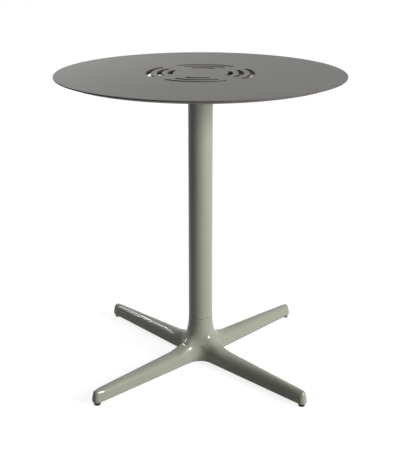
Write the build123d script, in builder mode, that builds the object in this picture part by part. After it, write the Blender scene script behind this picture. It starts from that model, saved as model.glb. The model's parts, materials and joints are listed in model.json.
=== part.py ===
"""Round garden table: a slotted laminate top on a cast four-leg pedestal.

The top is screwed to a four-arm spider, and a tie rod clamps spider, column tube and base together.
Each leg stands on a levelling glide, which screws in and out of a bush in the tip of the leg.
Millimetres, +Z up, origin on the floor below the column. The front is towards -Y.
"""

from build123d import *

import os
from math import asin, cos, degrees, radians, sin

# Whole table
TABLE_HEIGHT = 740.0
TOP_DIAMETER = 690.0
FEET = {"back_right": 45.0, "back_left": 135.0, "front_left": 225.0, "front_right": 315.0}  # leg angles

# Table top: a compact laminate board with a bevelled rim and concentric drain slots
TOP_THICKNESS = 10.0
RIM_LAND = 3.0  # height of the upright edge
RIM_BEVEL_RUN = 20.0  # how far the bevel under that edge runs inwards
EDGE_EASE = 0.5  # chamfer on the upper edges of the board
SLOT_WIDTH = 12.0
SLOT_FIRST_RADIUS = 71.6
SLOT_PITCH = 25.9
SLOT_HALF_SPANS = (23.5, 31.0, 35.0)  # degrees, rounded ends included, from the inner slot outwards
TOP_TURN = -6.0  # degrees that top and spider are turned against the base

# Screws that hold the top to the spider, with their inserts and washers
SCREW_RADII = (98.0, 152.0)  # two on each arm
SCREW_DIAMETER = 6.0
SCREW_HEAD_DIAMETER = 11.0
SCREW_HEAD_HEIGHT = 3.6
SCREW_SOCKET_FLATS = 4.0
SCREW_SOCKET_DEPTH = 2.2
SCREW_WASHER_DIAMETER = 13.0
SCREW_WASHER_THICKNESS = 1.6
INSERT_DIAMETER = 8.5
INSERT_LENGTH = 7.5
SCREW_END_GAP = 1.0  # from the end of the screw to the end of its insert

# Spider: a cast bracket with four hollow arms, a collar on the tube and a spigot inside it
SPIDER_DEPTH = 26.0
ARM_ROOT_HALF_WIDTH = 20.0  # measured at the middle of the spider
ARM_TIP_RADIUS = 13.0
ARM_REACH = 160.0  # centre of the rounded tip
ARM_VALLEY_RADIUS = 45.0
ARM_TIP_DEPTH = 10.0
ARM_FLANGE = 6.0
ARM_WALL = 4.5
ARM_EDGE_ROUND = 1.5
COLLAR_MARGIN = 4.0  # flat ring of the spider beyond the tube

# Column tube
COLUMN_DIAMETER = 60.0
TUBE_WALL = 3.0
SEAM_EASE = 0.5  # chamfers that make the fine seam line at the ends of the tube

# Tie rod with its nuts and washers
ROD_DIAMETER = 12.0
ROD_PROTRUSION = 2.0  # beyond each nut
ROD_CHAMFER = 1.0
NUT_FLATS = 18.0
NUT_HEIGHT = 10.0
ROD_WASHER_DIAMETER = 24.0
ROD_WASHER_THICKNESS = 2.5
SPRING_WASHER_DIAMETER = 21.0
SPRING_WASHER_THICKNESS = 2.5
SPRING_WASHER_GAP = 2.0
NUT_RECESS_DIAMETER = 34.0
ROD_TOP_GAP = 1.5  # from the rod to the underside of the top

# Base: one hollow casting with a flared hub and four tapering legs
SEAM_HEIGHT = 117.5  # where the tube stands on the hub
FOOT_RADIUS = 336.0
LEG_ROOT_HALF_WIDTH = 24.4  # measured at the middle of the hub
LEG_TIP_RADIUS = 12.0
LEG_VALLEY_RADIUS = 36.0
LEG_TOP_AT_HUB = 42.8
LEG_TOP_AT_FOOT = 37.1
LEG_UNDERSIDE_AT_HUB = 8.6  # measured at the middle of the hub
FLARE_REACH = 32.0  # from the tube to the foot of the flare
FLARE_FULLNESS = 0.55
LEG_TIP_FLAT = 2.0  # radius of the flat that the rounding leaves on top of a leg's tip
CAST_RIM_FLAT = 0.7  # width of the flat that the rounding leaves on the rim under the legs
CAST_WALL = 5.5
HUB_FLOOR = 14.0  # thickness of the floor that the tie rod pulls on
SPIGOT_LENGTH = 40.0  # both spigots in the tube
SPIGOT_WALL = 7.0
SOLID_TIP = 22.0  # uncored length of a leg, inwards from the centre of its foot
RIB_COUNT = 3
RIB_THICKNESS = 4.0
RIB_SETBACK = 8.0  # from the underside of a leg up to its ribs

# Levelling glides
PAD_DIAMETER = 16.0
PAD_HEIGHT = 6.0
PAD_EDGE_ROUND = 1.5
PAD_TOP_CHAMFER = 0.6
STUD_DIAMETER = 8.0
STUD_SEAT = 4.0  # depth of the stud in the pad
STUD_CHAMFER = 0.8
GLIDE_TRAVEL = 10.0
STUD_HOLD = 12.0  # length still in the bush at full travel
BUSH_DIAMETER = 14.0
BUSH_LENGTH = 18.0
BUSH_PROUD = 0.5  # below the underside of the leg tip

# Clearances, all radial apart from the end gap of the studs
PRESS_GAP = 0.03  # pressed and screwed pieces
RUNNING_GAP = 0.05  # stud turning in its bush
SPIGOT_GAP = 0.1
SCREW_HOLE_GAP = 0.4
ROD_HOLE_GAP = 0.5
STUD_HOLE_GAP = 0.5
STUD_END_GAP = 1.0  # above the stud in its hole
TOUCHING = 0.01  # an edge closer than this to an outline runs along it

# Heights and radii that follow from the sizes above
UNDERSIDE = TABLE_HEIGHT - TOP_THICKNESS
TOP_RADIUS = TOP_DIAMETER / 2
COLUMN_RADIUS = COLUMN_DIAMETER / 2
TUBE_BORE_RADIUS = COLUMN_RADIUS - TUBE_WALL
SPIGOT_RADIUS = TUBE_BORE_RADIUS - SPIGOT_GAP
SPIGOT_BORE_RADIUS = SPIGOT_RADIUS - SPIGOT_WALL
ROD_HOLE_RADIUS = ROD_DIAMETER / 2 + ROD_HOLE_GAP
COLLAR_RADIUS = COLUMN_RADIUS + COLLAR_MARGIN
TUBE_TOP = UNDERSIDE - SPIDER_DEPTH
RECESS_FLOOR = UNDERSIDE - ROD_TOP_GAP - ROD_PROTRUSION - NUT_HEIGHT - ROD_WASHER_THICKNESS
HUB_CEILING = LEG_TOP_AT_HUB - CAST_WALL
LEG_UNDERSIDE_AT_FOOT = PAD_HEIGHT + BUSH_PROUD
LEG_TOP_ROUND = LEG_TIP_RADIUS - LEG_TIP_FLAT
LEG_BOTTOM_ROUND = CAST_WALL - CAST_RIM_FLAT
LEG_TAPER = (LEG_ROOT_HALF_WIDTH - LEG_TIP_RADIUS) / FOOT_RADIUS
STUD_TOP = PAD_HEIGHT + GLIDE_TRAVEL + STUD_HOLD
STUD_HOLE_TOP = STUD_TOP + STUD_END_GAP
ARM_COUNT = len(FEET)  # legs, spider arms and groups of slots
LEG_START = FEET["back_right"]

os.makedirs("parts", exist_ok=True)


def save(builder, name):
    """Label the finished piece and write it to its own file."""
    builder.part.label = name
    export_step(builder.part, f"parts/{name}.step")


def polar(radius, angle):
    """Return the point in plan at a radius and an angle in degrees."""
    return (radius * cos(radians(angle)), radius * sin(radians(angle)))


def star_plan(root_half_width, tip_radius, reach, valley_radius, turn):
    """Return a star in plan: tapering arms with round tips, joined by concave arcs."""
    taper = asin((root_half_width - tip_radius) / reach)
    root = root_half_width / cos(taper)
    tip_x = reach + tip_radius * sin(taper)
    tip_y = tip_radius * cos(taper)
    with BuildSketch() as arm:
        with BuildLine():
            Line((0, root), (tip_x, tip_y))
            ThreePointArc((tip_x, tip_y), (reach + tip_radius, 0), (tip_x, -tip_y))
            Polyline((tip_x, -tip_y), (0, -root), (0, root))
        make_face()
    with BuildSketch() as plan:
        with PolarLocations(0, ARM_COUNT, start_angle=LEG_START + turn):
            add(arm.sketch)
        valleys = plan.vertices().sort_by_distance((0, 0, 0))[:ARM_COUNT]
        fillet(valleys, radius=valley_radius)
    return plan.sketch


def outline_edges(builder, outline, low, high):
    """Return the edges that run along an outline in plan, with their middles between two heights."""
    wire = outline.wire()

    def runs_along(edge):
        middle = edge @ 0.5
        run = edge @ 1 - edge @ 0
        upright = Vector(run.X, run.Y).length < TOUCHING
        off_line = Vertex(middle.X, middle.Y, 0).distance_to(wire) > TOUCHING
        return low < middle.Z < high and not upright and not off_line

    return builder.edges().filter_by(runs_along)


def ring(height, thickness, outer_radius, inner_radius):
    """Return a flat washer about the column axis, standing on the given height."""
    with BuildPart() as washer:
        with BuildSketch(Plane.XY.offset(height)):
            Circle(outer_radius)
            Circle(inner_radius, mode=Mode.SUBTRACT)
        extrude(amount=thickness)
    return washer


def hexagon_nut(height):
    """Return a nut on the tie rod, standing on the given height, with its corners turned off."""
    corner_radius = NUT_FLATS / 2 / cos(radians(30))
    corner_drop = (corner_radius - NUT_FLATS / 2) / 2
    with BuildPart() as nut:
        with BuildSketch(Plane.XY.offset(height)):
            Circle(corner_radius)
        extrude(amount=NUT_HEIGHT)
        chamfer(nut.edges().filter_by(GeomType.CIRCLE), length=corner_drop, length2=2 * corner_drop)
        with BuildSketch(Plane.XY.offset(height)):
            RegularPolygon(NUT_FLATS / 2, 6, major_radius=False)
            Circle(ROD_DIAMETER / 2 + PRESS_GAP, mode=Mode.SUBTRACT)
        extrude(amount=NUT_HEIGHT, mode=Mode.INTERSECT)
    return nut


# Table top
SCREW_SPOTS = [polar(radius, angle + TOP_TURN) for angle in FEET.values() for radius in SCREW_RADII]
slot_lines = []
for row, half_span in enumerate(SLOT_HALF_SPANS):
    slot_radius = SLOT_FIRST_RADIUS + row * SLOT_PITCH
    half_line = half_span - degrees(SLOT_WIDTH / 2 / slot_radius)
    slot_lines.append(CenterArc((0, 0), slot_radius, -half_line, 2 * half_line))

with BuildPart() as table_top:
    with BuildSketch(Plane.XZ):
        with BuildLine():
            Polyline(
                (0, UNDERSIDE),
                (TOP_RADIUS - RIM_BEVEL_RUN, UNDERSIDE),
                (TOP_RADIUS, TABLE_HEIGHT - RIM_LAND),
                (TOP_RADIUS, TABLE_HEIGHT),
                (0, TABLE_HEIGHT),
                close=True,
            )
        make_face()
    revolve(axis=Axis.Z)
    with BuildSketch(Plane.XY.offset(TABLE_HEIGHT)):
        with PolarLocations(0, ARM_COUNT, start_angle=TOP_TURN):
            for slot_line in slot_lines:
                SlotArc(slot_line, SLOT_WIDTH)
    extrude(amount=-TOP_THICKNESS, mode=Mode.SUBTRACT)
    chamfer(table_top.faces().sort_by(Axis.Z)[-1].edges(), EDGE_EASE)
    with BuildSketch(Plane.XY.offset(UNDERSIDE)):
        with Locations(*SCREW_SPOTS):
            Circle(INSERT_DIAMETER / 2 + PRESS_GAP)
    extrude(amount=INSERT_LENGTH, mode=Mode.SUBTRACT)
save(table_top, "table_top")

with BuildPart() as top_inserts:
    with BuildSketch(Plane.XY.offset(UNDERSIDE)):
        with Locations(*SCREW_SPOTS):
            Circle(INSERT_DIAMETER / 2)
            Circle(SCREW_DIAMETER / 2 + PRESS_GAP, mode=Mode.SUBTRACT)
    extrude(amount=INSERT_LENGTH)
save(top_inserts, "top_inserts")

# Spider with its screws and washers
spider_outline = star_plan(ARM_ROOT_HALF_WIDTH, ARM_TIP_RADIUS, ARM_REACH, ARM_VALLEY_RADIUS, TOP_TURN)
arm_hollow_outline = star_plan(
    ARM_ROOT_HALF_WIDTH - ARM_WALL,
    ARM_TIP_RADIUS - ARM_WALL,
    ARM_REACH,
    ARM_VALLEY_RADIUS + ARM_WALL,
    TOP_TURN,
)

with BuildPart() as spider:
    with BuildSketch(Plane.XY.offset(TUBE_TOP)):
        add(spider_outline)
    extrude(amount=SPIDER_DEPTH)
    with BuildSketch(Plane.XZ):
        with BuildLine():
            Polyline(
                (0, TUBE_TOP),
                (COLLAR_RADIUS, TUBE_TOP),
                (ARM_REACH + ARM_TIP_RADIUS, UNDERSIDE - ARM_TIP_DEPTH),
                (ARM_REACH + ARM_TIP_RADIUS, UNDERSIDE),
                (0, UNDERSIDE),
                close=True,
            )
        make_face()
    revolve(axis=Axis.Z, mode=Mode.INTERSECT)
    fillet(outline_edges(spider, spider_outline, TUBE_TOP, UNDERSIDE - ARM_FLANGE), ARM_EDGE_ROUND)
    with BuildSketch(Plane.XY.offset(TUBE_TOP)):
        add(arm_hollow_outline)
        Circle(COLLAR_RADIUS, mode=Mode.SUBTRACT)
    extrude(amount=SPIDER_DEPTH - ARM_FLANGE, mode=Mode.SUBTRACT)
    with BuildSketch(Plane.XY.offset(TUBE_TOP)):
        Circle(SPIGOT_RADIUS)
        Circle(SPIGOT_BORE_RADIUS, mode=Mode.SUBTRACT)
    extrude(amount=-SPIGOT_LENGTH)
    with BuildSketch(Plane.XY.offset(RECESS_FLOOR)):
        Circle(NUT_RECESS_DIAMETER / 2)
    extrude(amount=UNDERSIDE - RECESS_FLOOR, mode=Mode.SUBTRACT)
    with BuildSketch(Plane.XY.offset(TUBE_TOP)):
        Circle(ROD_HOLE_RADIUS)
        with Locations(*SCREW_SPOTS):
            Circle(SCREW_DIAMETER / 2 + SCREW_HOLE_GAP)
    extrude(amount=SPIDER_DEPTH, mode=Mode.SUBTRACT)
save(spider, "spider")

screw_seat = UNDERSIDE - ARM_FLANGE - SCREW_WASHER_THICKNESS
with BuildPart() as spider_washers:
    with BuildSketch(Plane.XY.offset(screw_seat)):
        with Locations(*SCREW_SPOTS):
            Circle(SCREW_WASHER_DIAMETER / 2)
            Circle(SCREW_DIAMETER / 2 + SCREW_HOLE_GAP, mode=Mode.SUBTRACT)
    extrude(amount=SCREW_WASHER_THICKNESS)
save(spider_washers, "spider_washers")

with BuildPart() as spider_screws:
    with BuildSketch(Plane.XY.offset(screw_seat - SCREW_HEAD_HEIGHT)):
        with Locations(*SCREW_SPOTS):
            Circle(SCREW_HEAD_DIAMETER / 2)
    extrude(amount=SCREW_HEAD_HEIGHT)
    head_edges = spider_screws.edges().group_by(Axis.Z)[0]
    fillet(head_edges, SCREW_HEAD_HEIGHT / 2)
    with BuildSketch(Plane.XY.offset(screw_seat)):
        with Locations(*SCREW_SPOTS):
            Circle(SCREW_DIAMETER / 2)
    extrude(amount=UNDERSIDE + INSERT_LENGTH - SCREW_END_GAP - screw_seat)
    with BuildSketch(Plane.XY.offset(screw_seat - SCREW_HEAD_HEIGHT)):
        with Locations(*SCREW_SPOTS):
            RegularPolygon(SCREW_SOCKET_FLATS / 2, 6, major_radius=False)
    extrude(amount=SCREW_SOCKET_DEPTH, mode=Mode.SUBTRACT)
save(spider_screws, "spider_screws")

# Column tube
with BuildPart() as column_tube:
    with BuildSketch(Plane.XY.offset(SEAM_HEIGHT)):
        Circle(COLUMN_RADIUS)
    extrude(amount=TUBE_TOP - SEAM_HEIGHT)
    chamfer(column_tube.edges().filter_by(GeomType.CIRCLE), SEAM_EASE)
    with BuildSketch(Plane.XY.offset(SEAM_HEIGHT)):
        Circle(TUBE_BORE_RADIUS)
    extrude(amount=TUBE_TOP - SEAM_HEIGHT, mode=Mode.SUBTRACT)
save(column_tube, "column_tube")

# Base casting
flare_foot = (COLUMN_RADIUS + FLARE_REACH, LEG_TOP_AT_HUB)
leg_fall = (LEG_TOP_AT_HUB - LEG_TOP_AT_FOOT) / (FOOT_RADIUS - flare_foot[0])
underside_fall = (LEG_UNDERSIDE_AT_HUB - LEG_UNDERSIDE_AT_FOOT) / FOOT_RADIUS
flare_pull = FLARE_FULLNESS * FLARE_REACH
past_foot = 2 * LEG_TIP_RADIUS
half_height = (LEG_TOP_AT_FOOT + LEG_UNDERSIDE_AT_FOOT) / 2
beyond_tip = FOOT_RADIUS + past_foot
base_outline = star_plan(LEG_ROOT_HALF_WIDTH, LEG_TIP_RADIUS, FOOT_RADIUS, LEG_VALLEY_RADIUS, 0)
hollow_reach = FOOT_RADIUS - SOLID_TIP
hollow_outline = star_plan(
    LEG_ROOT_HALF_WIDTH - CAST_WALL,
    LEG_ROOT_HALF_WIDTH - LEG_TAPER * hollow_reach - CAST_WALL,
    hollow_reach,
    LEG_VALLEY_RADIUS + CAST_WALL,
    0,
)

with BuildPart() as base_hollow:
    with BuildSketch(Plane.XY):
        add(hollow_outline)
    extrude(amount=HUB_CEILING)
    with BuildSketch(Plane.XZ):
        with BuildLine():
            Polyline(
                (0, 0),
                (0, HUB_CEILING),
                (flare_foot[0], HUB_CEILING),
                (FOOT_RADIUS, LEG_TOP_AT_FOOT - CAST_WALL),
                (FOOT_RADIUS, 0),
                close=True,
            )
        make_face()
    revolve(axis=Axis.Z, mode=Mode.INTERSECT)
    with BuildSketch(Plane.XY.offset(LEG_UNDERSIDE_AT_HUB + RIB_SETBACK)):
        for rib in range(1, RIB_COUNT + 1):
            with PolarLocations(hollow_reach * rib / (RIB_COUNT + 1), ARM_COUNT, start_angle=LEG_START):
                Rectangle(RIB_THICKNESS, 2 * LEG_ROOT_HALF_WIDTH)
    extrude(amount=HUB_CEILING, mode=Mode.SUBTRACT)

with BuildPart() as base_casting:
    with BuildSketch(Plane.XY):
        add(base_outline)
    extrude(amount=SEAM_HEIGHT)
    with BuildSketch(Plane.XZ):
        with BuildLine():
            Bezier(
                (COLUMN_RADIUS, SEAM_HEIGHT),
                (COLUMN_RADIUS, SEAM_HEIGHT - FLARE_FULLNESS * (SEAM_HEIGHT - LEG_TOP_AT_HUB)),
                (flare_foot[0] - flare_pull, LEG_TOP_AT_HUB + flare_pull * leg_fall),
                flare_foot,
            )
            Polyline(
                flare_foot,
                (beyond_tip, LEG_TOP_AT_FOOT - past_foot * leg_fall),
                (beyond_tip, LEG_UNDERSIDE_AT_FOOT - past_foot * underside_fall),
                (0, LEG_UNDERSIDE_AT_HUB),
                (0, SEAM_HEIGHT),
                (COLUMN_RADIUS, SEAM_HEIGHT),
            )
        make_face()
    revolve(axis=Axis.Z, mode=Mode.INTERSECT)
    fillet(outline_edges(base_casting, base_outline, half_height, SEAM_HEIGHT), LEG_TOP_ROUND)
    chamfer(base_casting.faces().sort_by(Axis.Z)[-1].edges(), SEAM_EASE)
    add(base_hollow.part, mode=Mode.SUBTRACT)
    fillet(outline_edges(base_casting, base_outline, 0, half_height), LEG_BOTTOM_ROUND)
    with BuildSketch(Plane.XY.offset(SEAM_HEIGHT)):
        Circle(SPIGOT_RADIUS)
    extrude(amount=SPIGOT_LENGTH)
    with BuildSketch(Plane.XY.offset(HUB_CEILING + HUB_FLOOR)):
        Circle(SPIGOT_BORE_RADIUS)
    extrude(amount=SEAM_HEIGHT + SPIGOT_LENGTH - HUB_CEILING - HUB_FLOOR, mode=Mode.SUBTRACT)
    with BuildSketch(Plane.XY.offset(HUB_CEILING)):
        Circle(ROD_HOLE_RADIUS)
    extrude(amount=HUB_FLOOR, mode=Mode.SUBTRACT)
    with BuildSketch(Plane.XY.offset(PAD_HEIGHT)):
        with PolarLocations(FOOT_RADIUS, ARM_COUNT, start_angle=LEG_START):
            Circle(STUD_DIAMETER / 2 + STUD_HOLE_GAP)
    extrude(amount=STUD_HOLE_TOP - PAD_HEIGHT, mode=Mode.SUBTRACT)
    with BuildSketch(Plane.XY.offset(PAD_HEIGHT)):
        with PolarLocations(FOOT_RADIUS, ARM_COUNT, start_angle=LEG_START):
            Circle(BUSH_DIAMETER / 2 + PRESS_GAP)
    extrude(amount=BUSH_LENGTH, mode=Mode.SUBTRACT)
save(base_casting, "base_casting")

# Tie rod with its nuts and washers, from the floor of the hub to the recess of the spider
spring_washer_top = HUB_CEILING - ROD_WASHER_THICKNESS
bottom_nut_top = spring_washer_top - SPRING_WASHER_THICKNESS
rod_bottom = bottom_nut_top - NUT_HEIGHT - ROD_PROTRUSION
rod_top = UNDERSIDE - ROD_TOP_GAP
with BuildPart() as tie_rod:
    with BuildSketch(Plane.XY.offset(rod_bottom)):
        Circle(ROD_DIAMETER / 2)
    extrude(amount=rod_top - rod_bottom)
    chamfer(tie_rod.edges().filter_by(GeomType.CIRCLE), ROD_CHAMFER)
save(tie_rod, "tie_rod")

washer_radius = ROD_WASHER_DIAMETER / 2
rod_top_washer = ring(RECESS_FLOOR, ROD_WASHER_THICKNESS, washer_radius, ROD_HOLE_RADIUS)
save(rod_top_washer, "rod_top_washer")
rod_top_nut = hexagon_nut(RECESS_FLOOR + ROD_WASHER_THICKNESS)
save(rod_top_nut, "rod_top_nut")
rod_bottom_washer = ring(spring_washer_top, ROD_WASHER_THICKNESS, washer_radius, ROD_HOLE_RADIUS)
save(rod_bottom_washer, "rod_bottom_washer")
rod_bottom_nut = hexagon_nut(bottom_nut_top - NUT_HEIGHT)
save(rod_bottom_nut, "rod_bottom_nut")

with BuildPart() as rod_spring_washer:
    with BuildSketch(Plane.XY.offset(bottom_nut_top)):
        Circle(SPRING_WASHER_DIAMETER / 2)
        Circle(ROD_HOLE_RADIUS, mode=Mode.SUBTRACT)
        with Locations((SPRING_WASHER_DIAMETER / 2, 0)):
            Rectangle(SPRING_WASHER_DIAMETER, SPRING_WASHER_GAP, mode=Mode.SUBTRACT)
    extrude(amount=SPRING_WASHER_THICKNESS)
save(rod_spring_washer, "rod_spring_washer")

# Levelling glides: a bush in each leg tip, and a stud with a moulded pad
for foot, angle in FEET.items():
    foot_x, foot_y = polar(FOOT_RADIUS, angle)
    floor = Plane((foot_x, foot_y, 0))
    pad_face = floor.offset(PAD_HEIGHT)
    stud_foot = floor.offset(PAD_HEIGHT - STUD_SEAT)

    with BuildPart() as glide_bush:
        with BuildSketch(pad_face):
            Circle(BUSH_DIAMETER / 2)
            Circle(STUD_DIAMETER / 2 + RUNNING_GAP, mode=Mode.SUBTRACT)
        extrude(amount=BUSH_LENGTH)
    save(glide_bush, f"glide_bush_{foot}")

    with BuildPart() as glide_stud:
        with BuildSketch(stud_foot):
            Circle(STUD_DIAMETER / 2)
        extrude(amount=STUD_TOP - PAD_HEIGHT + STUD_SEAT)
        chamfer(glide_stud.edges().filter_by(GeomType.CIRCLE), STUD_CHAMFER)
    save(glide_stud, f"glide_stud_{foot}")

    with BuildPart() as glide_pad:
        with BuildSketch(floor):
            Circle(PAD_DIAMETER / 2)
        extrude(amount=PAD_HEIGHT)
        fillet(glide_pad.edges().group_by(Axis.Z)[0], PAD_EDGE_ROUND)
        chamfer(glide_pad.faces().sort_by(Axis.Z)[-1].edges(), PAD_TOP_CHAMFER)
        with BuildSketch(stud_foot):
            Circle(STUD_DIAMETER / 2 + PRESS_GAP)
        extrude(amount=STUD_SEAT, mode=Mode.SUBTRACT)
    save(glide_pad, f"glide_pad_{foot}")
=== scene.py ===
"""Studio scene for the round garden table: materials, the shaped casting, floor, light and camera."""

import json
from math import copysign, cos, radians, sin

import bmesh
import bpy
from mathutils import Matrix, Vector


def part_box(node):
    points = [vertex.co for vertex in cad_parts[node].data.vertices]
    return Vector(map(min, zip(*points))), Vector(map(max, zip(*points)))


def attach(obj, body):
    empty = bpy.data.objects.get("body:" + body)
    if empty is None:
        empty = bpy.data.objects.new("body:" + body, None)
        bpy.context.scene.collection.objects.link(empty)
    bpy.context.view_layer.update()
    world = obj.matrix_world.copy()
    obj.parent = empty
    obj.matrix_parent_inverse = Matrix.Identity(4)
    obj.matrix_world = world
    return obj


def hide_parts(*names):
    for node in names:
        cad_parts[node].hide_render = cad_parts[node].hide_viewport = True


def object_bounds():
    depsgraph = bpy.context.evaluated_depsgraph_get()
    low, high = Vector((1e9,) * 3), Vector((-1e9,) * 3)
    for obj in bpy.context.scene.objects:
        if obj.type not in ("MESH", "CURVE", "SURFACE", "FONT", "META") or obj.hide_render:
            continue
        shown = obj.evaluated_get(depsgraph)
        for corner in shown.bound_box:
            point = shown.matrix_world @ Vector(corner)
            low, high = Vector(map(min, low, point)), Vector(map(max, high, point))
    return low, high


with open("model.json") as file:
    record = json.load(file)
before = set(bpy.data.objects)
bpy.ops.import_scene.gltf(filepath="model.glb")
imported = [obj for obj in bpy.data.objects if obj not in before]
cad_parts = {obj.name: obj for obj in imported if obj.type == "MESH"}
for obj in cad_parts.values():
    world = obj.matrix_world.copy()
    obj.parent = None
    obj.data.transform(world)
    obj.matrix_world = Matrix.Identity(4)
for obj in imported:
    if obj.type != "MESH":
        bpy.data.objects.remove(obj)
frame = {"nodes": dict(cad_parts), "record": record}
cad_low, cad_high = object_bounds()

# Camera, fitted to the photograph
IMAGE_LONG_SIDE = 450  # pixels
FOCAL_PIXELS = 866.4
PRINCIPAL_ROW = 165
CAMERA_PITCH = 15.441  # degrees below the horizon
CAMERA_TURN = 0.64  # degrees round the column
CAMERA_DISTANCE = 2.0326
CAMERA_HEIGHT = 1.0749
SENSOR_WIDTH = 36.0  # millimetres

# Colours in linear light
LAMINATE = (0.205, 0.202, 0.191)
LAMINATE_CORE = (0.104, 0.088, 0.084)
PAINT = (0.342, 0.356, 0.287)
ZINC = (0.62, 0.63, 0.64)
BRASS = (0.72, 0.55, 0.25)
NYLON = (0.018, 0.018, 0.019)
WHITE = (1.0, 1.0, 1.0)

# Finish of the surfaces
MIDTONES = (0.3, 0.7)  # the range of a noise that is spread over a finish
GRAIN_TONES = (0.35, 0.65)
LAMINATE_ROUGHNESS = (0.46, 0.58)
LAMINATE_SPECULAR = 0.14
LAMINATE_SHEETS = (60.0, 60.0, 2600.0)  # stretch of the core's noise into thin sheets
FACE_LEVEL = 0.98  # what lies flatter than this shows the face of the laminate, the rest its core
PAINT_ROUGHNESS = (0.15, 0.18)
PAINT_SPECULAR = 0.28
SPECK_TONES = (0.66, 0.74)
SPECK_STRENGTH = 0.12
SPECK_LIGHT = 1.3
SEAM_PAINTED_SHADE_SPAN = (0.0006, 0.0014)  # metres above and below the seam, over which the powder coat is darkened as painted shade
SEAM_SHADE = 0.68
NYLON_ROUGHNESS = (0.42, 0.55)
NYLON_SPECULAR = 0.2
MIX_FIRST_COLOUR = 6  # numbers of sockets on the Mix node, which has one set for each kind of value
MIX_COLOUR_OUTPUT = 2

# Light
AMBIENT = 0.02
MIDDLE = (0.0, 0.0, 0.4)  # the places that lamps are aimed at
TOP_CENTRE = (0.0, 0.0, cad_high[2])
HUB = (0.0, 0.0, 0.06)
FLOOR_RADIUS = 8.0
FLOOR_LIT = 0.35  # how much lamp light and shadow the camera sees on the floor
FLOOR_GLOW = 0.86  # white that the camera sees below the table, rising to 1 further out
FLOOR_FADE = (0.35, 1.1)  # where it rises
FLOOR_BOUNCE = 0.35  # what the floor throws back onto the table

# Shape of the casting beyond its plain solid, in metres
LEG_ROOT_HALF_WIDTH = 0.0244
LEG_TIP_RADIUS = 0.012
LEG_START = (0.050, 0.120)  # the shape of the legs fades in along a leg
LEG_END = (0.270, 0.335)  # and fades out towards the tip
LEG_HEIGHT = (0.014, 0.032)  # fades in up the sides of a leg
CROWN = 0.0062  # from the ridge of a leg to its edges, at the hub
CROWN_LIFT = 0.344  # share of the crown that stands above the plain casting
TIP_DRAW = 0.0026  # how far the shoulder of a tip is drawn in
TIP_START = (-0.020, 0.004)  # from the middle of a foot
WAIST = 0.005  # how far the hub is drawn in between the legs
WAIST_SPREAD = 1.5  # a smaller power draws in more of the hub beside the legs
WAIST_RISE = (0.018, 0.050)  # heights
WAIST_FALL = (0.046, 0.087)
WAIST_INSIDE = (0.022, 0.032)  # radii
WAIST_OUTSIDE = (0.060, 0.090)
SWEEP = 0.010  # how far a leg's ridge rises into the hub
SWEEP_INSIDE = (0.030, 0.050)  # radii
SWEEP_OUTSIDE = (0.050, 0.095)
SWEEP_ACROSS = (0.010, 0.026)  # from the middle of a leg
SWEEP_HEIGHT = (0.037, 0.043)

# Mesh of the casting
CUT_ALONG = 0.010  # spacing of the cuts across a leg, along it, round the hub and level
CUT_ACROSS = 0.0022
CUT_HUB = 0.003
CUT_LEVEL = 0.004
LEVELS = (0.012, 0.112)
LONG_EDGE = 0.004  # only faces with a longer edge are cut
WELD = 1e-6
SHARP_ANGLE = 32  # degrees
SKIN_LEVELS = (0.024, 0.092)  # heights of the skin that is evened out
SKIN_FACING = 0.04  # its normals point up by more than this
SKIN_REACH = 0.318
SKIN_PASSES = 6
SKIN_FACTOR = 0.5  # share of the way to the neighbours in each pass
NORMAL_PASSES = 30
LANE_POWER = 4  # a larger power evens out the normals more strictly along the legs


def shade(colour, factor=1.0):
    """Return a colour with its brightness changed, ready for a colour socket."""
    return tuple(channel * factor for channel in colour) + (1.0,)


class Shader:
    """A node tree that is built up node by node."""

    def __init__(self, tree):
        self.tree = tree
        tree.nodes.clear()

    def node(self, kind, settings=None, **inputs):
        """Add a node; inputs are values or output sockets, by socket name with _ for spaces."""
        made = self.tree.nodes.new(kind)
        for key, value in (settings or {}).items():
            setattr(made, key, value)
        for key, value in inputs.items():
            self.put(made, key.replace("_", " "), value)
        return made

    def put(self, node, socket, value):
        """Set one input of a node, by name or number, to a value or link it to an output socket."""
        target = node.inputs[socket]
        if isinstance(value, bpy.types.NodeSocket):
            self.tree.links.new(value, target)
        else:
            target.default_value = value

    def join(self, kind, settings, values, first_socket=0):
        """Add a node and fill its inputs in order; return the node."""
        made = self.node(kind, settings)
        for number, value in enumerate(values):
            self.put(made, first_socket + number, value)
        return made

    def math(self, operation, first, second=0.0):
        return self.join("ShaderNodeMath", {"operation": operation}, (first, second)).outputs[0]

    def noise(self, coords, scale, detail=2.0, roughness=0.5):
        """Return a noise; its scale is in waves per metre."""
        settings = {"Scale": scale, "Detail": detail, "Roughness": roughness}
        return self.node("ShaderNodeTexNoise", Vector=coords, **settings).outputs["Fac"]

    def span(self, value, low, high, to_low=0.0, to_high=1.0):
        """Map a range of a value to another range, clamped."""
        made = self.node("ShaderNodeMapRange", Value=value, From_Min=low, From_Max=high)
        self.put(made, "To Min", to_low)
        self.put(made, "To Max", to_high)
        return made.outputs["Result"]

    def blend(self, factor, first, second):
        """Mix two colours."""
        made = self.join("ShaderNodeMix", {"data_type": "RGBA"}, (first, second), MIX_FIRST_COLOUR)
        self.put(made, 0, factor)
        return made.outputs[MIX_COLOUR_OUTPUT]

    def tones(self, factor, colour, dark, light):
        """Mix a darker and a lighter tone of a colour."""
        return self.blend(factor, shade(colour, dark), shade(colour, light))

    def bump(self, height, distance, strength=1.0, normal=None):
        made = self.node("ShaderNodeBump", Height=height, Distance=distance, Strength=strength)
        if normal is not None:
            self.put(made, "Normal", normal)
        return made.outputs["Normal"]

    def seen(self):
        """Return 1 for what the camera sees straight, in reflections or through glass, else 0."""
        path = self.node("ShaderNodeLightPath")
        sight = self.math("MAXIMUM", path.outputs["Is Camera Ray"], path.outputs["Is Glossy Ray"])
        return self.math("MAXIMUM", sight, path.outputs["Is Transmission Ray"])


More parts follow.
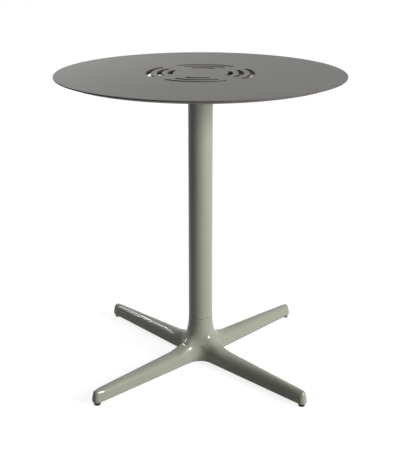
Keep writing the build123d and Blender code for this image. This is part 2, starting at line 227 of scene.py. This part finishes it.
def new_material(name):
    """Return a material with a Principled surface, its shader builder and object coordinates."""
    material = bpy.data.materials.new(name)
    material.use_nodes = True
    shader = Shader(material.node_tree)
    output = shader.node("ShaderNodeOutputMaterial")
    surface = shader.node("ShaderNodeBsdfPrincipled")
    shader.put(output, "Surface", surface.outputs[0])
    coords = shader.node("ShaderNodeTexCoord")
    return material, shader, surface, coords


def laminate_material():
    """Compact laminate: a finely textured matt face over a dark layered core."""
    material, shader, surface, coords = new_material("laminate")
    place = coords.outputs["Object"]
    grain = shader.noise(place, scale=950.0, detail=3.0, roughness=0.6)
    cloud = shader.noise(place, scale=26.0, detail=3.0)
    face = shader.tones(shader.span(grain, *GRAIN_TONES), LAMINATE, dark=0.93, light=1.07)
    face = shader.blend(shader.span(cloud, *MIDTONES), face, shade(LAMINATE))
    split = shader.node("ShaderNodeSeparateXYZ", Vector=coords.outputs["Normal"])
    flatness = shader.math("ABSOLUTE", split.outputs["Z"])
    is_face = shader.math("GREATER_THAN", flatness, FACE_LEVEL)
    layers = shader.node("ShaderNodeMapping", Vector=place, Scale=LAMINATE_SHEETS)
    sheet = shader.noise(layers.outputs[0], scale=1.0)
    core = shader.tones(shader.span(sheet, *MIDTONES), LAMINATE_CORE, dark=0.86, light=1.14)
    shader.put(surface, "Base Color", shader.blend(is_face, core, face))
    shader.put(surface, "Roughness", shader.span(grain, *MIDTONES, *LAMINATE_ROUGHNESS))
    shader.put(surface, "Specular IOR Level", LAMINATE_SPECULAR)
    relief = shader.bump(shader.noise(place, scale=1500.0), distance=0.00009, strength=0.5)
    shader.put(surface, "Normal", shader.bump(grain, distance=0.00012, strength=0.4, normal=relief))
    return material


def paint_material():
    """Powder coat: satin gloss with a faint orange peel, and painted shade in the seam below the tube."""
    material, shader, surface, coords = new_material("powder_coat")
    place = coords.outputs["Object"]
    cloud = shader.noise(place, scale=14.0, detail=3.0)
    speck = shader.noise(place, scale=1100.0)
    colour = shader.tones(shader.span(cloud, *MIDTONES), PAINT, dark=0.975, light=1.025)
    is_speck = shader.span(speck, *SPECK_TONES, to_high=SPECK_STRENGTH)
    colour = shader.blend(is_speck, colour, shade(PAINT, SPECK_LIGHT))
    height = shader.node("ShaderNodeSeparateXYZ", Vector=place).outputs["Z"]
    seam_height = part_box("column_tube")[0][2]
    off_seam = shader.math("ABSOLUTE", shader.math("SUBTRACT", height, seam_height))
    # painted shade: the coat is darkened in a thin band at the seam's height, where the joint lies in shade
    colour = shader.blend(shader.span(off_seam, *SEAM_PAINTED_SHADE_SPAN), shade(PAINT, SEAM_SHADE), colour)
    shader.put(surface, "Base Color", colour)
    shader.put(surface, "Roughness", shader.span(cloud, *MIDTONES, *PAINT_ROUGHNESS))
    shader.put(surface, "Specular IOR Level", PAINT_SPECULAR)
    peel = shader.bump(shader.noise(place, scale=330.0, detail=1.5), distance=0.00016, strength=0.05)
    shader.put(surface, "Normal", shader.bump(speck, distance=0.00004, strength=0.08, normal=peel))
    return material


def metal_material(name, colour, roughness, mark_scale):
    """Plated or turned metal with fine tool marks and a cloudy finish."""
    material, shader, surface, coords = new_material(name)
    place = coords.outputs["Object"]
    cloud = shader.noise(place, scale=120.0, detail=3.0)
    marks = shader.noise(place, mark_scale)
    shader.put(surface, "Base Color", shader.tones(cloud, colour, dark=0.85, light=1.1))
    shader.put(surface, "Roughness", shader.span(marks, *MIDTONES, *roughness))
    shader.put(surface, "Metallic", 1.0)
    shader.put(surface, "Normal", shader.bump(marks, distance=0.00003, strength=0.3))
    return material


def nylon_material():
    """Moulded black nylon with a fine spark-eroded grain."""
    material, shader, surface, coords = new_material("nylon")
    place = coords.outputs["Object"]
    grain = shader.noise(place, scale=1800.0)
    shader.put(surface, "Base Color", shader.tones(grain, NYLON, dark=0.8, light=1.3))
    shader.put(surface, "Roughness", shader.span(grain, *MIDTONES, *NYLON_ROUGHNESS))
    shader.put(surface, "Specular IOR Level", NYLON_SPECULAR)
    shader.put(surface, "Normal", shader.bump(grain, distance=0.00008, strength=0.4))
    return material


def dress_nodes():
    """Give each node of the frame the material of its slot."""
    slots = {part["node"]: part["material_slot"] for part in frame["record"]["subparts"]}
    for node, piece in frame["nodes"].items():
        piece.data.materials.clear()
        piece.data.materials.append(materials[slots[node]])


def add_piece(name, mesh, slot):
    """Make a piece from a mesh, with the material of a slot."""
    mesh.materials.clear()
    mesh.materials.append(materials[slot])
    piece = bpy.data.objects.new(name, mesh)
    bpy.context.scene.collection.objects.link(piece)
    return piece


def fade(value, low, high):
    """Rise smoothly from 0 at low to 1 at high."""
    share = min(max((value - low) / (high - low), 0.0), 1.0)
    return share * share * (3.0 - 2.0 * share)


def band(value, rise, fall):
    """Rise smoothly over one range and fall again over another."""
    return fade(value, *rise) * (1 - fade(value, *fall))


def leg_axis(point):
    """Return the direction of the leg that a point belongs to."""
    return Vector((copysign(1.0, point.x), copysign(1.0, point.y), 0.0)).normalized()


def shaped(point, foot_radius):
    """Return where a point of the plain casting goes: crowned legs, drawn-in tips and a waisted hub."""
    axis = leg_axis(point)
    along = point.dot(axis)
    across = (point - axis * along).xy.length
    reach = max(point.xy.length, WELD)
    width_share = 1 - (1 - LEG_TIP_RADIUS / LEG_ROOT_HALF_WIDTH) * min(along / foot_radius, 1.0)
    offset = min(across / (LEG_ROOT_HALF_WIDTH * width_share), 1.0)
    high = fade(point.z, *LEG_HEIGHT)
    rise = CROWN * width_share * high * band(along, LEG_START, LEG_END) * (CROWN_LIFT - offset ** 2)
    ridge = band(reach, SWEEP_INSIDE, SWEEP_OUTSIDE) * (1 - fade(across, *SWEEP_ACROSS))
    rise += SWEEP * ridge * fade(point.z, *SWEEP_HEIGHT)
    between = (2 * along * across / reach ** 2) ** WAIST_SPREAD
    waist = WAIST * between * band(reach, WAIST_INSIDE, WAIST_OUTSIDE)
    waist *= band(point.z, WAIST_RISE, WAIST_FALL)
    drawn = point * (1 - waist / reach)
    foot = axis * foot_radius
    tip = TIP_DRAW / LEG_TIP_RADIUS * high * fade(along - foot_radius, *TIP_START)
    drawn = foot + (drawn - foot) * (1 - tip)
    return Vector((drawn.x, drawn.y, point.z + rise))


def steps(start, end, step):
    """Return evenly spaced values from start, up to end at most."""
    return [start + step * k for k in range(int((end - start) / step) + 1)]


def cut_planes():
    """Return the planes that cut the casting, each as a direction and a distance from the origin."""
    places = steps(0, LEG_ROOT_HALF_WIDTH, CUT_ACROSS)
    places += steps(LEG_ROOT_HALF_WIDTH, LEG_START[0], CUT_HUB)[1:-1]
    places += steps(LEG_START[0], LEG_END[1], CUT_ALONG)
    places = [-place for place in places[1:]] + places
    diagonals = [Vector((1, way, 0)).normalized() for way in (1, -1)]
    planes = [(diagonal, place) for diagonal in diagonals for place in places]
    return planes + [(Vector((0, 0, 1)), level) for level in steps(*LEVELS, CUT_LEVEL)]


def cut_finely(shape):
    """Cut the long faces of the casting into small ones that can be shaped."""
    faces = [f for f in shape.faces if max(e.calc_length() for e in f.edges) > LONG_EDGE]
    edges = {e for f in faces for e in f.edges}
    verts = {v for f in faces for v in f.verts}
    cut = [*verts, *edges, *faces]
    for axis, place in cut_planes():
        made = bmesh.ops.bisect_plane(shape, geom=cut, dist=WELD, plane_co=axis * place, plane_no=axis)
        cut = made["geom"]


def is_skin(vert):
    """True on the outer skin of the hub and the tops of the legs, away from the seam and the tips."""
    level = SKIN_LEVELS[0] < vert.co.z < SKIN_LEVELS[1]
    return level and vert.normal.z > SKIN_FACING and vert.co.xy.length < SKIN_REACH


def smooth_skin(shape):
    """Even out the skin of the casting and return its vertices."""
    shape.normal_update()
    skin = [v for v in shape.verts if is_skin(v)]
    axes = {f"use_axis_{axis}": True for axis in "xyz"}
    for _ in range(SKIN_PASSES):
        bmesh.ops.smooth_vert(shape, verts=skin, factor=SKIN_FACTOR, **axes)
    shape.normal_update()
    return skin


def lane_weights(vert, skin):
    """Return the neighbours of a vertex on the skin, with a weight that favours those along the leg."""
    axis = leg_axis(vert.co)
    weights = []
    for edge in vert.link_edges:
        other = edge.other_vert(vert)
        if other in skin:
            weights.append((other, abs((other.co - vert.co).normalized().dot(axis)) ** LANE_POWER))
    return weights


def evened_normals(skin):
    """Return the normals of the skin, evened out along the legs so that highlights run straight."""
    normals = {vert: vert.normal.copy() for vert in skin}
    lanes = {vert: lane_weights(vert, normals) for vert in skin}
    for _ in range(NORMAL_PASSES):
        evened = {}
        for vert, lane in lanes.items():
            total = sum((normals[other] * weight for other, weight in lane), normals[vert])
            evened[vert] = total.normalized()
        normals = evened
    return normals


def shaped_base():
    """Copy the casting, cut its long faces finely and give it the shape of the real one."""
    low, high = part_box("glide_pad_back_right")
    foot_radius = Vector((low[0] + high[0], low[1] + high[1])).length / 2
    shape = bmesh.new()
    shape.from_mesh(frame["nodes"]["base_casting"].data)
    bmesh.ops.remove_doubles(shape, verts=shape.verts, dist=WELD)
    cut_finely(shape)
    for vert in shape.verts:
        vert.co = shaped(vert.co, foot_radius)
    evened = evened_normals(smooth_skin(shape))
    normals = [evened.get(vert, Vector()) for vert in shape.verts]  # a zero vector keeps the plain normal
    mesh = bpy.data.meshes.new("base_casting_shaped")
    shape.to_mesh(mesh)
    shape.free()
    if "custom_normal" in mesh.attributes:
        mesh.attributes.remove(mesh.attributes["custom_normal"])
    mesh.shade_smooth()
    mesh.set_sharp_from_angle(angle=radians(SHARP_ANGLE))
    mesh.normals_split_custom_set_from_vertices(normals)
    base = add_piece("base_casting_shaped", mesh, "powder_coat")
    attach(base, "table")
    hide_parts("base_casting")


def floor_material():
    """White to the camera and in reflections, dim in the light that it throws back, clear from below."""
    material = bpy.data.materials.new("studio_floor")
    material.use_nodes = True
    shader = Shader(material.node_tree)
    output = shader.node("ShaderNodeOutputMaterial")
    lit = shader.node("ShaderNodeBsdfDiffuse", Color=shade(WHITE, FLOOR_LIT))
    place = shader.node("ShaderNodeTexCoord").outputs["Object"]
    reach = shader.node("ShaderNodeVectorMath", {"operation": "LENGTH"}, Vector=place).outputs["Value"]
    strength = shader.span(reach, *FLOOR_FADE, to_low=FLOOR_GLOW)
    glow = shader.node("ShaderNodeEmission", Color=shade(WHITE), Strength=strength)
    white = shader.join("ShaderNodeAddShader", None, (lit.outputs[0], glow.outputs[0]))
    dim = shader.node("ShaderNodeBsdfDiffuse", Color=shade(WHITE, FLOOR_BOUNCE))
    front = shader.join("ShaderNodeMixShader", None, (shader.seen(), dim.outputs[0], white.outputs[0]))
    clear = shader.node("ShaderNodeBsdfTransparent")
    below = shader.node("ShaderNodeNewGeometry").outputs["Backfacing"]
    both = shader.join("ShaderNodeMixShader", None, (below, front.outputs[0], clear.outputs[0]))
    shader.put(output, "Surface", both.outputs[0])
    return material


def build_floor():
    bpy.ops.mesh.primitive_circle_add(vertices=128, radius=FLOOR_RADIUS, fill_type="NGON")
    floor = bpy.context.object
    floor.name = "studio_floor"
    floor.data.materials.append(floor_material())


def build_world():
    """White to the camera and in reflections, a low even light for everything else."""
    world = bpy.data.worlds.new("studio")
    bpy.context.scene.world = world
    world.use_nodes = True
    shader = Shader(world.node_tree)
    output = shader.node("ShaderNodeOutputWorld")
    strength = shader.span(shader.seen(), 0.0, 1.0, to_low=AMBIENT)
    backdrop = shader.node("ShaderNodeBackground", Color=shade(WHITE), Strength=strength)
    shader.put(output, "Surface", backdrop.outputs[0])


def softbox(name, azimuth, elevation, distance, size, power, aim=MIDDLE, glint=False):
    """Add a lamp; azimuth 0 is to the right and 270 to the front. A glint lamp shows in gloss alone."""
    lamp = bpy.data.lights.new(name, "AREA")
    lamp.shape = "RECTANGLE"
    lamp.size, lamp.size_y = size
    lamp.energy = power
    thing = bpy.data.objects.new(name, lamp)
    thing.visible_camera = False
    thing.visible_diffuse = not glint
    thing.visible_glossy = glint
    bpy.context.scene.collection.objects.link(thing)
    a, e = radians(azimuth), radians(elevation)
    way = Vector((cos(a) * cos(e), sin(a) * cos(e), sin(e)))
    thing.location = Vector(aim) + way * distance
    thing.rotation_euler = way.to_track_quat("Z", "Y").to_euler()


def build_lights():
    """Two lamps light the table, and three more put the small bright glints on its base."""
    softbox("key", azimuth=331, elevation=17, distance=3.0, size=(1.7, 1.4), power=109.0)
    softbox("overhead", azimuth=142, elevation=40, distance=1.1, size=(0.5, 0.5), power=6.5, aim=TOP_CENTRE)
    at_hub = {"distance": 2.6, "aim": HUB, "glint": True}
    softbox("glint_key", azimuth=324, elevation=26, size=(0.5, 0.5), power=120.0, **at_hub)
    softbox("glint_left", azimuth=130, elevation=45, size=(0.08, 0.8), power=24.0, **at_hub)
    softbox("glint_edge", azimuth=155, elevation=32, size=(0.2, 0.2), power=9.0, **at_hub)


def build_camera():
    camera = bpy.data.objects.new("camera", bpy.data.cameras.new("camera"))
    bpy.context.scene.collection.objects.link(camera)
    camera.data.sensor_width = SENSOR_WIDTH
    camera.data.lens = FOCAL_PIXELS / IMAGE_LONG_SIDE * SENSOR_WIDTH
    camera.data.shift_y = PRINCIPAL_ROW / IMAGE_LONG_SIDE - 0.5
    turn = radians(CAMERA_TURN)
    camera.location = (CAMERA_DISTANCE * sin(turn), -CAMERA_DISTANCE * cos(turn), CAMERA_HEIGHT)
    camera.rotation_euler = (radians(90 - CAMERA_PITCH), 0, turn)
    bpy.context.scene.camera = camera


materials = {
    "laminate": laminate_material(),
    "powder_coat": paint_material(),
    "zinc_steel": metal_material("zinc_steel", ZINC, roughness=(0.27, 0.43), mark_scale=1600.0),
    "brass": metal_material("brass", BRASS, roughness=(0.21, 0.37), mark_scale=2200.0),
    "nylon": nylon_material(),
}
dress_nodes()
shaped_base()
build_floor()
build_world()
build_lights()
build_camera()
bpy.context.scene.view_settings.view_transform = "Standard"
